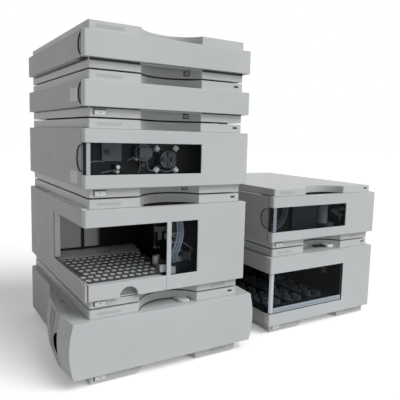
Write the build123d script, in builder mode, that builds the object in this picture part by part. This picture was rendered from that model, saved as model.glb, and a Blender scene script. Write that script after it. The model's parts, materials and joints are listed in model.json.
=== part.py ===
from build123d import *
import os
from collections import namedtuple

os.makedirs("parts", exist_ok=True)

# A liquid chromatography system: seven instrument units in two stacks. Sizes are in millimetres.
# Each unit has a frame of its own: x from its left side, y back from its front plane and z up from
# the underside of its body. The whole stands on z = 0, with its box centred on x = 0 and y = 0.
unit_width = 345
unit_depth = 435
slim_height = 80
standard_height = 140
tall_height = 200
foot_height = 3
foot_side = 16
foot_inset = 40
right_stack_x = 446.4
right_stack_y = 34.3

# Gaps: running_gap is left round what slides or turns, cover_gap round the covers that pull off.
# A cut that ends in the open runs on by overcut.
running_gap = 0.3
cover_gap = 0.3
overcut = 1

# The base strip and the top cover are set in from the belt of front cover and side panels
strip_side = 11.4
strip_front = 11.3
strip_corner = 2
base_height = 17
lid_height = 17.2
rear_standout = 8.8
panel_wall = 2.5
cover_depth = 16
cover_wall = 3
cover_corner = 4

# The wave is the finger recess in the strips, where tubes also run from unit to unit
wave_left = 108
wave_right = 236
wave_crest = 176
wave_depth = 42
wave_roof = 2
bay_margin = 3

# Round finger catches in the side panels, behind the front cover's seam
catch_radius = 24.3
catch_back = 23.7
slim_catch_radius = 19
slim_catch_back = 18

# Leak drain at the right of the base's wave; the lowest unit of each stack has the hose nozzle
drain_x = 217
drain_z = 9.5
drain_pocket = 10
drain_seat = 46
nozzle_radius = 2.6
nozzle_length = 12

# Power button in the base strip and status lamp in the top cover
button_left = 22
button_width = 21
button_low = 3.5
button_height = 8.5
button_length = 8
button_proud = 0.6
button_travel = 2.5
button_shadow = 1.5
lamp_from_right = 32.5
lamp_width = 10
lamp_drop = 7
lamp_height = 3.6
lamp_depth = 3

# Rear panel: power inlet, data sockets and air slots
inlet_x = 46
inlet_width = 28
inlet_height = 20
inlet_depth = 14
socket_x = 100
socket_pitch = 42
socket_count = 3
socket_width = 31
socket_height = 11
socket_depth = 5
socket_slant = 80
vent_x = 262
vent_width = 84
vent_slot = 4
vent_pitch = 9
vent_depth = 5
vent_rows = 4

# Pump and detector windows wrap the cover's left corner
pump_window_right = 233
pump_window_low = 41.5
pump_window_high = 98
detector_window_right = 238
detector_window_low = 40
detector_window_high = 98
window_wall = 2.5
window_corner = 5

# Pump: what stands on the plate behind the window
plate_wall = 4
damper_left = 47
damper_width = 39
damper_low = 63
damper_height = 34
damper_wall = 5
damper_screw = (56.5, 80.8)
damper_screw_flats = 8
purge_x = 73.7
purge_z = 53
purge_boss_radius = 5.5
purge_boss_length = 10
purge_knob_radius = 5
purge_knob_length = 9
purge_stem_radius = 2
purge_stem_length = 5
head_x = 124
head_z = 80
head_radius = 17
head_length = 20
head_block_width = 26
head_block_height = 20
head_block_length = 12
head_block_corner = 3
outlet_flats = 7
outlet_drop = 23
valve_x = 176
valve_z = 67
valve_size = 34
valve_depth = 22
valve_cut = 9
valve_screw_radius = 4.5
valve_screw_reach = 9.5
valve_screw_length = 4
valve_fitting_flats = 8
valve_fitting_length = 17

# Detector: optical housing with its lamp can and the loops of tube beside it
optics_left = 96
optics_right = 210
optics_low = 24
optics_high = 104
optics_length = 14
can_x = 196
can_radius = 13
can_low = 30
can_high = 108
loop_x = 30
loop_z = 96
loop_radii = (22, 31)
loop_band = 4.4

# Solvent cabinet: open well for the bottles
well_wall = 10
well_front = 66
well_floor = 6
well_rim = 22

# Sampler: the room is open at the front and at the left side
room_right = 240
room_back = 290
room_top = 165
opening_back = 214
opening_low = 51.5
opening_high = 151.5
jamb_wall = 11.5
post_left = 161
post_width = 9.5
small_window_right = 229
small_window_low = 46
end_cap_width = 5.5
end_cap_top = 47.5

# Sampler drawer: drip pan with the front panel and its half-round grip
drawer_panel_wall = 3
drawer_panel_top = 46.5
drawer_pan_side = 12
drawer_pan_right = 150
drawer_pan_back = 200
drawer_pan_wall = 2
drawer_rim = 3
drawer_travel = 180
grip_x = 84
grip_radius = 18.5
grip_depth = 12
grip_wall = 2

# Vial tray: a staggered field of sockets in a plate whose right side leans outward to the back
tray_front = 20
tray_back = 285
tray_left = 8
tray_right_front = 157
tray_right_back = 212
tray_low = 25
tray_high = 45
tray_rail_width = 4
vial_flats = 11
vial_depth = 16
vial_pitch_x = 14.2
vial_pitch_y = 23
vial_stagger = 7.1
vial_rows = 10
vial_columns = 10
vial_first_x = 19
vial_first_y = 38

# Sampler transport and sampling unit
rail_z = 140
rail_size = 12
carriage_x = 205
carriage_width = 20
carriage_wall = 5
arm_front = 128
arm_height = 12
gripper_width = 12
gripper_depth = 14
gripper_low = 72
gripper_high = 152
gripper_travel = 20
carriage_travel = 165
unit_left = 188
unit_front = 44
unit_back = 116
unit_foot_top = 58
column_left = 199
column_inset = 4
column_radius = 12
column_top = 148
coil_radius = 9
coil_turns = 4
coil_tube = 2

# Collector: door, rack tray and gantry
door_right = 239
door_low = 47
door_high = 144
door_back = 180
door_wall = 3
door_gap = 0.6
door_corner = 14
door_bevel = 9
door_pin_radius = 1.2
door_pin_length = 5
door_swing_edge = 2.5
rack_left = 15
rack_right = 226
rack_front = 24
rack_back = 262
rack_low = 17
rack_high = 58
rack_wall = 3
rack_lanes = 3
beam_x = 196
beam_width = 14
beam_low = 118
beam_height = 14
needle_y = 90
needle_block = 24
needle_radius = 1.6
needle_low = 72
beam_travel = 150
needle_travel = 120

# Cooler: the belt swells beyond the other units; reach is its flare past the unit's side
cooler_front_reach = 20
cooler_waist_reach = 26.4
cooler_waist_back = 85
cooler_rear_reach = 18
cooler_rear_back = 180
cooler_end_back = 256
cooler_swell = 8
cooler_end_swell = 0.4
cooler_cover_depth = 66
cooler_cover_wall = 3
cooler_cover_side = 10
slot_length = 22
slot_height = 3
slot_tilt = 14
slot_columns = 2
slot_rows = 13
slot_pitch_y = 27
slot_pitch_z = 7.2
slot_centre_back = 113
slot_centre_up = 70
slot_inner_reach = 14
notch_back = 20
notch_height = 42
notch_centre_up = 66
notch_inner_reach = 12

cooler_widest = cooler_waist_reach + cooler_swell
left_x = -(right_stack_x + unit_width - cooler_widest) / 2
front_y = -(right_stack_y + unit_depth + rear_standout) / 2
strip_depth = unit_depth + rear_standout - strip_front
lamp_left = unit_width - lamp_from_right
bay_depth = strip_front + wave_depth + bay_margin
panel_front = cover_depth + cover_gap

Unit = namedtuple("Unit", "name x y z height")


def stack(x, y, members):
    units = {}
    z = foot_height
    for name, height in members:
        units[name] = Unit(name, x, y, z, height)
        z += height + foot_height
    return units


left_stack = stack(left_x, front_y, (
    ("cooler", standard_height),
    ("sampler", tall_height),
    ("pump", standard_height),
    ("degasser", slim_height),
    ("solvent_cabinet", slim_height),
))
right_stack = stack(left_x + right_stack_x, front_y + right_stack_y, (
    ("collector", tall_height),
    ("detector", standard_height),
))
units = {**left_stack, **right_stack}
cooler = units["cooler"]
sampler = units["sampler"]
pump = units["pump"]
cabinet = units["solvent_cabinet"]
collector = units["collector"]
detector = units["detector"]
powered = [unit for unit in units.values() if unit is not cabinet]


def floor_plane(unit, up=0.0):
    return Plane((unit.x, unit.y, unit.z + up))


def front_plane(unit, back=0.0):
    return Plane((unit.x, unit.y + back, unit.z), x_dir=(1, 0, 0), z_dir=(0, -1, 0))


def side_plane(unit, right=0.0):
    return Plane((unit.x + right, unit.y, unit.z), x_dir=(0, 1, 0), z_dir=(1, 0, 0))


def rear_plane(unit):
    rear = unit.y + unit_depth + rear_standout
    return Plane((unit.x + unit_width, rear, unit.z), x_dir=(-1, 0, 0), z_dir=(0, 1, 0))


def belt_top(unit):
    return unit.height - lid_height


def rectangle(low, high, mode=Mode.ADD):
    # a rectangle from its lowest to its highest corner in the sketch's plane
    with Locations(((low[0] + high[0]) / 2, (low[1] + high[1]) / 2)):
        Rectangle(high[0] - low[0], high[1] - low[1], mode=mode)


def slab(unit, low, high, mode=Mode.ADD):
    # an upright block in a unit's frame, from its lowest to its highest corner
    with BuildSketch(floor_plane(unit, low[2])) as profile:
        rectangle(low[:2], high[:2])
    extrude(profile.sketch, amount=high[2] - low[2], mode=mode)


def rod(plane, centre, radius, length, mode=Mode.ADD):
    with BuildSketch(plane) as profile:
        with Locations(centre):
            Circle(radius)
    extrude(profile.sketch, amount=length, mode=mode)


def finish(piece, name):
    piece.part.label = name
    export_step(piece.part, f"parts/{name}.step")


def strip_body(unit, up, height):
    with BuildSketch(floor_plane(unit, up)) as profile:
        rectangle((strip_side, strip_front), (unit_width - strip_side, strip_front + strip_depth))
        chamfer(profile.vertices().group_by(Axis.Y)[0], length=strip_corner)
    extrude(profile.sketch, amount=height)


def wave(unit, up, height):
    # two arcs that meet level at the crest, closed in front of the strip
    crest = (wave_crest, strip_front + wave_depth)
    with BuildSketch(floor_plane(unit, up)) as profile:
        with BuildLine():
            TangentArc(crest, (wave_left, strip_front), tangent=(-1, 0))
            TangentArc(crest, (wave_right, strip_front), tangent=(1, 0))
            Polyline((wave_left, strip_front), (wave_left, 0), (wave_right, 0), (wave_right, strip_front))
        make_face()
    extrude(profile.sketch, amount=height, mode=Mode.SUBTRACT)


def make_base(unit):
    with BuildPart() as base:
        strip_body(unit, 0, base_height)
        wave(unit, 0, base_height - wave_roof)
        slab(unit, (drain_x - drain_pocket / 2, strip_front, drain_z - drain_pocket / 2),
             (drain_x + drain_pocket / 2, drain_seat, drain_z + drain_pocket / 2), Mode.SUBTRACT)
        if unit in (cooler, collector):
            rod(front_plane(unit, drain_seat), (drain_x, drain_z), nozzle_radius, nozzle_length)
        if unit in powered:
            low = (button_left - button_shadow, strip_front, button_low - running_gap)
            high = (button_left + button_width + running_gap,
                    strip_front + button_length + button_travel,
                    button_low + button_height + button_shadow)
            slab(unit, (low[0], low[1] - overcut, low[2]), high, Mode.SUBTRACT)
    finish(base, f"{unit.name}_base")


def make_top_cover(unit):
    with BuildPart() as lid:
        strip_body(unit, belt_top(unit), lid_height)
        wave(unit, belt_top(unit), lid_height)
        if unit in powered:
            lamp_low = unit.height - lamp_drop - lamp_height / 2
            slab(unit, (lamp_left, strip_front - overcut, lamp_low),
                 (lamp_left + lamp_width, strip_front + lamp_depth, lamp_low + lamp_height), Mode.SUBTRACT)
        if unit is cabinet:
            slab(unit, (strip_side + well_rim, well_front, belt_top(unit)),
                 (unit_width - strip_side - well_rim, unit_depth - well_rim, unit.height), Mode.SUBTRACT)
    finish(lid, f"{unit.name}_top_cover")


def catch(unit):
    # centre and radius of the finger catch, in the side panel's own plane
    if unit.height == slim_height:
        return (slim_catch_back, unit.height / 2), slim_catch_radius
    return (catch_back, unit.height / 2), catch_radius


def make_side_panels(unit):
    with BuildPart() as panels:
        for right in (0, unit_width - panel_wall):
            centre, radius = catch(unit)
            with BuildSketch(side_plane(unit, right)):
                rectangle((panel_front, base_height), (unit_depth, belt_top(unit)))
                with Locations(centre):
                    Circle(radius, mode=Mode.SUBTRACT)
            extrude(amount=panel_wall)
    finish(panels, f"{unit.name}_side_panels")


def make_open_side_panels(unit, low, high, back, end_cap=False):
    # the left panel is cut open from its front edge, the right one keeps its catch
    with BuildPart() as panels:
        with BuildSketch(side_plane(unit)):
            rectangle((panel_front, base_height), (unit_depth, belt_top(unit)))
            rectangle((0, low), (back, high), Mode.SUBTRACT)
        extrude(amount=panel_wall)
        if end_cap:
            slab(unit, (0, 0, base_height + cover_gap), (end_cap_width, panel_front, end_cap_top))
            fillet(panels.edges().filter_by(Axis.Z).group_by(Axis.Y)[0], radius=panel_wall / 2)
        centre, radius = catch(unit)
        with BuildSketch(side_plane(unit, unit_width - panel_wall)):
            rectangle((panel_front, base_height), (unit_depth, belt_top(unit)))
            with Locations(centre):
                Circle(radius, mode=Mode.SUBTRACT)
        extrude(amount=panel_wall)
    finish(panels, f"{unit.name}_side_panels")


def cover_shell(unit):
    low = base_height + cover_gap
    high = belt_top(unit) - cover_gap
    with BuildSketch(floor_plane(unit, low)) as profile:
        rectangle((0, 0), (unit_width, cover_depth))
        fillet(profile.vertices().group_by(Axis.Y)[0], radius=cover_corner)
    extrude(profile.sketch, amount=high - low)
    slab(unit, (cover_wall, cover_wall, low + cover_wall),
         (unit_width - cover_wall, cover_depth, high - cover_wall), Mode.SUBTRACT)


def make_front_cover(unit):
    with BuildPart() as cover:
        cover_shell(unit)
    finish(cover, f"{unit.name}_front_cover")


def make_window_cover(unit, right, low, high):
    # the window's opening runs round the left corner to the cover's rear edge
    with BuildPart() as cover:
        cover_shell(unit)
        slab(unit, (-overcut, -overcut, low), (right, cover_depth + overcut, high), Mode.SUBTRACT)
    finish(cover, f"{unit.name}_front_cover")
    with BuildPart() as window:
        with BuildSketch(floor_plane(unit, low)):
            corner_outline(right, cover_depth, window_wall, window_corner)
        extrude(amount=high - low)
    finish(window, f"{unit.name}_window")


def corner_outline(right, back, wall, corner):
    # an L in plan: a front pane and a side return, with a rounded outer corner
    with BuildLine() as outline:
        Polyline((0, corner), (0, back), (wall, back), (wall, corner))
        RadiusArc((wall, corner), (corner, wall), corner - wall)
        Polyline((corner, wall), (right, wall), (right, 0), (corner, 0))
        RadiusArc((corner, 0), (0, corner), -corner)
    make_face(outline.line)


def rear_details(unit):
    middle = (base_height + belt_top(unit)) / 2
    with BuildSketch(rear_plane(unit)) as profile:
        rectangle((inlet_x - inlet_width / 2, middle - inlet_height / 2),
                  (inlet_x + inlet_width / 2, middle + inlet_height / 2))
    extrude(profile.sketch, amount=-inlet_depth, mode=Mode.SUBTRACT)
    with BuildSketch(rear_plane(unit)) as profile:
        for place in range(socket_count):
            with Locations((socket_x + place * socket_pitch, middle)):
                Trapezoid(socket_width, socket_height, socket_slant)
    extrude(profile.sketch, amount=-socket_depth, mode=Mode.SUBTRACT)
    with BuildSketch(rear_plane(unit)) as profile:
        with Locations((vent_x, middle)):
            with GridLocations(vent_width, vent_pitch, 1, vent_rows):
                Rectangle(vent_width, vent_slot)
    extrude(profile.sketch, amount=-vent_depth, mode=Mode.SUBTRACT)


def chassis_body(unit, front):
    with BuildSketch(floor_plane(unit, base_height)) as profile:
        rectangle((panel_wall, front), (unit_width - panel_wall, unit_depth))
        rectangle((strip_side, unit_depth), (unit_width - strip_side, unit_depth + rear_standout))
    extrude(profile.sketch, amount=belt_top(unit) - base_height)


def make_chassis(unit, front):
    with BuildPart() as chassis:
        chassis_body(unit, front)
        rear_details(unit)
    finish(chassis, f"{unit.name}_chassis")


def make_cabinet_chassis(unit):
    # a tub open at the top, under the top cover's rim
    with BuildPart() as tub:
        chassis_body(unit, bay_depth)
        slab(unit, (well_wall, well_front, base_height + well_floor),
             (unit_width - well_wall, unit_depth - well_wall, belt_top(unit)), Mode.SUBTRACT)
    finish(tub, f"{unit.name}_chassis")


def make_room_chassis(unit, back, jamb_low, jamb_high):
    # a block with a room cut from its front; the left wall is open between the jambs
    with BuildPart() as chassis:
        chassis_body(unit, panel_front)
        slab(unit, (panel_wall, 0, base_height), (room_right, room_back, room_top), Mode.SUBTRACT)
        slab(unit, (room_right, 0, base_height),
             (unit_width - panel_wall, bay_depth, room_top), Mode.SUBTRACT)
        slab(unit, (panel_wall, back, jamb_low), (panel_wall + jamb_wall, room_back, room_top))
        slab(unit, (panel_wall, panel_front, jamb_high), (panel_wall + jamb_wall, back, room_top))
        wave(unit, room_top + wave_roof, belt_top(unit) - room_top - wave_roof)
        slab(unit, (room_right - rail_size, room_back - rail_size, rail_z),
             (room_right, room_back, rail_z + rail_size))
        slab(unit, (panel_wall + jamb_wall, room_back - rail_size, rail_z),
             (room_right, room_back, rail_z + rail_size))
        rear_details(unit)
    finish(chassis, f"{unit.name}_chassis")


def make_feet():
    with BuildPart() as feet:
        for unit in units.values():
            with BuildSketch(floor_plane(unit, -foot_height)):
                with Locations((unit_width / 2, unit_depth / 2)):
                    with GridLocations(unit_width - 2 * foot_inset, unit_depth - 2 * foot_inset, 2, 2):
                        Rectangle(foot_side, foot_side)
            extrude(amount=foot_height)
    finish(feet, "feet")


def make_status_lamps():
    with BuildPart() as lamps:
        for unit in powered:
            lamp_low = unit.height - lamp_drop - lamp_height / 2
            slab(unit, (lamp_left, strip_front - running_gap, lamp_low),
                 (lamp_left + lamp_width, strip_front + lamp_depth, lamp_low + lamp_height))
    finish(lamps, "status_lamps")


def make_power_button(unit):
    with BuildPart() as button:
        slab(unit, (button_left, strip_front - button_proud, button_low),
             (button_left + button_width, strip_front + button_length - button_proud,
              button_low + button_height))
        chamfer(button.faces().sort_by(Axis.Y)[0].edges(), length=button_proud)
    finish(button, f"{unit.name}_power_button")


def make_pump_inside():
    face = bay_depth - plate_wall
    with BuildPart() as plate:
        slab(pump, (panel_wall, face, base_height),
             (unit_width - panel_wall, bay_depth, belt_top(pump)))
        slab(pump, (damper_left, face - damper_wall, damper_low),
             (damper_left + damper_width, face, damper_low + damper_height))
        with BuildSketch(front_plane(pump, face - damper_wall)):
            with Locations(damper_screw):
                RegularPolygon(damper_screw_flats / 2, 6, major_radius=False)
        extrude(amount=damper_wall / 2)
        rod(front_plane(pump, face), (purge_x, purge_z), purge_boss_radius, purge_boss_length)
        rod(front_plane(pump, face - purge_boss_length), (purge_x, purge_z),
            purge_stem_radius + running_gap, -purge_stem_length - running_gap, Mode.SUBTRACT)
    finish(plate, "pump_front_plate")

    with BuildPart() as purge:
        rod(front_plane(pump, face - purge_boss_length - running_gap), (purge_x, purge_z),
            purge_stem_radius, -purge_stem_length)
        with BuildSketch(front_plane(pump, face - purge_boss_length - running_gap)):
            with Locations((purge_x, purge_z)):
                RegularPolygon(purge_knob_radius, 8)
        extrude(amount=purge_knob_length)
    finish(purge, "purge_valve_knob")

    with BuildPart() as head:
        rod(front_plane(pump, face), (head_x, head_z), head_radius, head_length)
        with BuildSketch(front_plane(pump, face - head_length)):
            with Locations((head_x, head_z)):
                block = Rectangle(head_block_width, head_block_height)
            chamfer(block.vertices(), length=head_block_corner)
        extrude(amount=head_block_length)
        with BuildSketch(front_plane(pump, face)):
            with Locations((head_x, head_z - outlet_drop)):
                RegularPolygon(outlet_flats / 2, 6, major_radius=False)
        extrude(amount=head_length)
    finish(head, "pump_head")

    with BuildPart() as valve:
        with BuildSketch(front_plane(pump, face)):
            with Locations((valve_x, valve_z)):
                block = Rectangle(valve_size, valve_size)
            chamfer(block.vertices(), length=valve_cut)
        extrude(amount=valve_depth)
        with BuildSketch(front_plane(pump, face - valve_depth)):
            with Locations((valve_x, valve_z)):
                with PolarLocations(valve_screw_reach, 4):
                    RegularPolygon(valve_screw_radius, 6)
        extrude(amount=valve_screw_length)
        for turn in (45, 135, 225, 315):
            middle = front_plane(pump, face - valve_depth / 2).location * Location((valve_x, valve_z, 0))
            spoke = Plane(middle * Location((0, 0, 0), (0, 0, 1), turn) * Location((0, 0, 0), (0, 1, 0), 90))
            with BuildSketch(spoke.offset(valve_size / 2)):
                RegularPolygon(valve_fitting_flats / 2, 6, major_radius=False)
            extrude(amount=valve_fitting_length)
    finish(valve, "gradient_valve")


def make_detector_inside():
    with BuildPart() as optics:
        slab(detector, (optics_left, bay_depth - optics_length, optics_low),
             (optics_right, bay_depth, optics_high))
        rod(floor_plane(detector, can_low), (can_x, bay_depth - optics_length), can_radius,
            can_high - can_low)
        for radius in loop_radii:
            with BuildSketch(front_plane(detector, bay_depth)) as band:
                with Locations((loop_x, loop_z)):
                    Circle(radius + loop_band / 2)
                    Circle(radius - loop_band / 2, mode=Mode.SUBTRACT)
                rectangle((loop_x - 2 * radius, loop_z), (loop_x + 2 * radius, loop_z + 2 * radius), Mode.SUBTRACT)
                rectangle((loop_x - 2 * radius, loop_z - 2 * radius), (loop_x, loop_z), Mode.SUBTRACT)
            extrude(band.sketch, amount=loop_band)
    finish(optics, "detector_optics")


def make_sampler_cover():
    # the cover leaves the drawer's front and the open corner of the room free
    with BuildPart() as cover:
        cover_shell(sampler)
        slab(sampler, (-overcut, -overcut, 0), (post_left, cover_depth + overcut, opening_high), Mode.SUBTRACT)
        slab(sampler, (post_left + post_width, -overcut, small_window_low),
             (small_window_right, cover_depth + overcut, opening_high), Mode.SUBTRACT)
    finish(cover, "sampler_front_cover")
    with BuildPart() as window:
        slab(sampler, (post_left + post_width, cover_wall - window_wall, small_window_low),
             (small_window_right, cover_wall, opening_high))
    finish(window, "sampler_window")


def make_sampler_drawer():
    pan_low = base_height + running_gap
    panel_left = end_cap_width + running_gap
    panel_right = post_left - running_gap
    with BuildPart() as drawer:
        slab(sampler, (panel_left, 0, pan_low), (panel_right, drawer_panel_wall, drawer_panel_top))
        slab(sampler, (drawer_pan_side, drawer_panel_wall, pan_low),
             (drawer_pan_right, drawer_pan_back, pan_low + drawer_pan_wall + drawer_rim))
        slab(sampler, (drawer_pan_side + drawer_pan_wall, drawer_panel_wall, pan_low + drawer_pan_wall),
             (drawer_pan_right - drawer_pan_wall, drawer_pan_back - drawer_pan_wall,
              pan_low + drawer_pan_wall + drawer_rim), Mode.SUBTRACT)
        half_disc(grip_radius + grip_wall, drawer_panel_wall, grip_depth + grip_wall, Mode.ADD)
        half_disc(grip_radius, 0, grip_depth, Mode.SUBTRACT)
    finish(drawer, "sampler_drawer")


def half_disc(radius, front, back, mode):
    with BuildSketch(front_plane(sampler, back)) as profile:
        with Locations((grip_x, base_height + running_gap)):
            Circle(radius)
        rectangle((grip_x - radius, base_height + running_gap - radius),
                  (grip_x + radius, base_height + running_gap), Mode.SUBTRACT)
    extrude(profile.sketch, amount=back - front, mode=mode)


def make_vial_tray():
    with BuildPart() as tray:
        with BuildSketch(floor_plane(sampler, tray_low)):
            with BuildLine():
                Polyline((tray_left, tray_front), (tray_right_front, tray_front),
                         (tray_right_back, tray_back), (tray_left, tray_back), close=True)
            make_face()
        extrude(amount=tray_high - tray_low)
        with BuildSketch(floor_plane(sampler, tray_high - vial_depth)):
            for row in range(vial_rows):
                shift = vial_stagger * (row % 2) + (tray_right_back - tray_right_front) \
                    / (tray_back - tray_front) * vial_pitch_y * row
                for column in range(vial_columns):
                    place = (vial_first_x + column * vial_pitch_x + shift, vial_first_y + row * vial_pitch_y)
                    with Locations(place):
                        RegularPolygon(vial_flats / 2, 6, major_radius=False)
        extrude(amount=vial_depth, mode=Mode.SUBTRACT)
        slab(sampler, (tray_left, tray_front, base_height),
             (tray_left + tray_rail_width - running_gap, tray_back, tray_low))
        slab(sampler, (drawer_pan_right + running_gap, tray_front, base_height),
             (drawer_pan_right + running_gap + tray_rail_width, tray_back, tray_low))
    finish(tray, "vial_tray")


def make_sampler_transport():
    rail_front = room_back - rail_size
    arm_low = rail_z - running_gap - arm_height
    with BuildPart() as carriage:
        slab(sampler, (carriage_x - carriage_width / 2, rail_front - running_gap - carriage_wall, arm_low),
             (carriage_x + carriage_width / 2, rail_front - running_gap, rail_z + rail_size))
        slab(sampler, (carriage_x - carriage_width / 2, rail_front - carriage_wall, arm_low),
             (carriage_x + carriage_width / 2, room_back - running_gap, rail_z - running_gap))
        slab(sampler, (carriage_x - carriage_width / 2, arm_front, arm_low),
             (carriage_x + carriage_width / 2, rail_front - running_gap, rail_z - running_gap))
        slab(sampler, (carriage_x - gripper_width / 2 - running_gap, arm_front + carriage_wall, arm_low),
             (carriage_x + gripper_width / 2 + running_gap,
              arm_front + carriage_wall + gripper_depth + 2 * running_gap, rail_z), Mode.SUBTRACT)
    finish(carriage, "sampler_carriage")
    with BuildPart() as gripper:
        slab(sampler, (carriage_x - gripper_width / 2, arm_front + carriage_wall + running_gap, gripper_low),
             (carriage_x + gripper_width / 2, arm_front + carriage_wall + running_gap + gripper_depth,
              gripper_high))
    finish(gripper, "sampler_gripper")


def make_sampling_unit():
    with BuildPart() as unit:
        slab(sampler, (unit_left, unit_front, base_height), (room_right, unit_back, unit_foot_top))
        rod(floor_plane(sampler, unit_foot_top), (column_left + column_radius, unit_front + column_radius + column_inset),
            column_radius, column_top - unit_foot_top)
    finish(unit, "sampling_unit")


def make_collector_cover():
    with BuildPart() as cover:
        cover_shell(collector)
        slab(collector, (-overcut, -overcut, door_low - door_gap),
             (door_right + door_gap, cover_depth + overcut, door_high + door_gap), Mode.SUBTRACT)
        axis = (door_right - door_swing_edge, door_swing_edge)
        rod(floor_plane(collector, door_low - door_gap), axis, door_pin_radius + running_gap / 4,
            -door_pin_length, Mode.SUBTRACT)
        rod(floor_plane(collector, door_high + door_gap), axis, door_pin_radius + running_gap / 4,
            door_pin_length, Mode.SUBTRACT)
    finish(cover, "collector_front_cover")


def make_collector_door():
    edge = door_swing_edge
    with BuildPart() as door:
        with BuildSketch(floor_plane(collector, door_low)):
            corner_outline(door_right - edge, door_back, door_wall, door_corner)
            with Locations((door_right - edge, edge)):
                Circle(edge)
        extrude(amount=door_high - door_low)
        rod(floor_plane(collector, door_low), (door_right - edge, edge), door_pin_radius, -door_pin_length)
        rod(floor_plane(collector, door_high), (door_right - edge, edge), door_pin_radius, door_pin_length)
    finish(door, "collector_door")


def make_rack_tray():
    # a tray with lanes that the racks of tubes or plates slide into
    lane_pitch = (rack_right - rack_left - rack_wall) / rack_lanes
    with BuildPart() as tray:
        slab(collector, (rack_left, rack_front, rack_low), (rack_right, rack_back, rack_high))
        with BuildSketch(floor_plane(collector, rack_low + rack_wall)):
            with Locations(((rack_left + rack_right) / 2, (rack_front + rack_back) / 2)):
                with GridLocations(lane_pitch, lane_pitch, rack_lanes, 1):
                    Rectangle(lane_pitch - rack_wall, rack_back - rack_front - 2 * rack_wall)
        extrude(amount=rack_high - rack_low - rack_wall, mode=Mode.SUBTRACT)
    finish(tray, "rack_tray")


def make_collector_gantry():
    rail_front = room_back - rail_size
    with BuildPart() as beam:
        slab(collector, (beam_x - beam_width / 2, rack_front, beam_low),
             (beam_x + beam_width / 2, rail_front - running_gap, beam_low + beam_height))
        slab(collector, (beam_x - beam_width, rail_front - running_gap - carriage_wall, beam_low),
             (beam_x + beam_width, rail_front - running_gap, rail_z + rail_size))
    finish(beam, "collector_beam")
    with BuildPart() as head:
        low = beam_low - carriage_wall
        slab(collector, (beam_x - needle_block / 2, needle_y - needle_block / 2, low),
             (beam_x + needle_block / 2, needle_y + needle_block / 2, beam_low + beam_height + carriage_wall))
        slab(collector, (beam_x - beam_width / 2 - running_gap, needle_y - needle_block, beam_low - running_gap),
             (beam_x + beam_width / 2 + running_gap, needle_y + needle_block,
              beam_low + beam_height + running_gap), Mode.SUBTRACT)
        rod(floor_plane(collector, needle_low), (beam_x, needle_y), needle_radius, low - needle_low)
    finish(head, "collector_needle_head")


def cooler_belt(low, high):
    # the belt's cross-section, swelling at both sides, lofted back to where it meets the flat panel
    middle = (low + high) / 2
    sections = (
        (0, cooler_front_reach, cooler_swell),
        (cooler_waist_back, cooler_waist_reach, cooler_swell),
        (cooler_rear_back, cooler_rear_reach, cooler_swell * 0.7),
        (cooler_end_back, 0, cooler_end_swell),
    )
    outlines = []
    for back, reach, swell in sections:
        right = unit_width + reach
        with BuildSketch(front_plane(cooler, back)) as outline:
            with BuildLine():
                Line((-reach, low), (right, low))
                ThreePointArc((right, low), (right + swell, middle), (right, high))
                Line((right, high), (-reach, high))
                ThreePointArc((-reach, high), (-reach - swell, middle), (-reach, low))
            make_face()
        outlines.append(outline.sketch)
    loft(outlines, ruled=True)


def make_cooler_cover():
    low = base_height + cover_gap
    high = belt_top(cooler) - cover_gap
    wide = cooler_widest + overcut
    with BuildPart() as cover:
        cooler_belt(low, high)
        slab(cooler, (-wide, cooler_cover_depth, low), (unit_width + wide, unit_depth, high), Mode.SUBTRACT)
        slab(cooler, (-cooler_cover_side, cooler_cover_wall, low + cooler_cover_wall),
             (unit_width + cooler_cover_side, cooler_cover_depth, high - cooler_cover_wall), Mode.SUBTRACT)
    finish(cover, "cooler_front_cover")


def make_cooler_sides():
    low = base_height + cover_gap
    high = belt_top(cooler) - cover_gap
    wide = cooler_widest + overcut
    start = cooler_cover_depth + cover_gap
    with BuildPart() as sides:
        cooler_belt(low, high)
        slab(cooler, (-wide, 0, low), (unit_width + wide, start, high), Mode.SUBTRACT)
        slab(cooler, (panel_wall, 0, low), (unit_width + wide, unit_depth, high), Mode.SUBTRACT)
        slab(cooler, (0, cooler_end_back, low), (panel_wall, unit_depth, high))
        with BuildSketch(side_plane(cooler, -wide)):
            with Locations((slot_centre_back, slot_centre_up)):
                with GridLocations(slot_pitch_y, slot_pitch_z, slot_columns, slot_rows):
                    Rectangle(slot_length, slot_height, rotation=slot_tilt)
        extrude(amount=wide - slot_inner_reach, mode=Mode.SUBTRACT)
        with BuildSketch(side_plane(cooler, -wide)):
            with BuildLine():
                notch_low = (start, notch_centre_up - notch_height / 2)
                notch_high = (start, notch_centre_up + notch_height / 2)
                ThreePointArc(notch_low, (start + notch_back, notch_centre_up), notch_high)
                Line(notch_high, notch_low)
            make_face()
        extrude(amount=wide - notch_inner_reach, mode=Mode.SUBTRACT)
        mirror(about=Plane.YZ.offset(cooler.x + unit_width / 2))
    finish(sides, "cooler_side_panels")


for unit in units.values():
    make_base(unit)
    make_top_cover(unit)
for unit in powered:
    make_power_button(unit)
for unit in (pump, detector, units["degasser"], cabinet):
    make_side_panels(unit)
make_open_side_panels(sampler, opening_low, opening_high, opening_back, end_cap=True)
make_open_side_panels(collector, door_low - door_gap, door_high + door_gap, door_back + door_gap)
for unit in (units["degasser"], cabinet):
    make_front_cover(unit)
for unit in (pump, detector, units["degasser"]):
    make_chassis(unit, bay_depth)
make_chassis(cooler, cooler_cover_depth + cover_gap)
make_cabinet_chassis(cabinet)
make_room_chassis(sampler, opening_back, opening_low, opening_high)
make_room_chassis(collector, door_back + door_gap, door_low - door_gap, door_high + door_gap)
make_window_cover(pump, pump_window_right, pump_window_low, pump_window_high)
make_window_cover(detector, detector_window_right, detector_window_low, detector_window_high)
make_sampler_cover()
make_collector_cover()
make_cooler_cover()
make_cooler_sides()
make_feet()
make_status_lamps()
make_pump_inside()
make_detector_inside()
make_sampler_drawer()
make_vial_tray()
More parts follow.
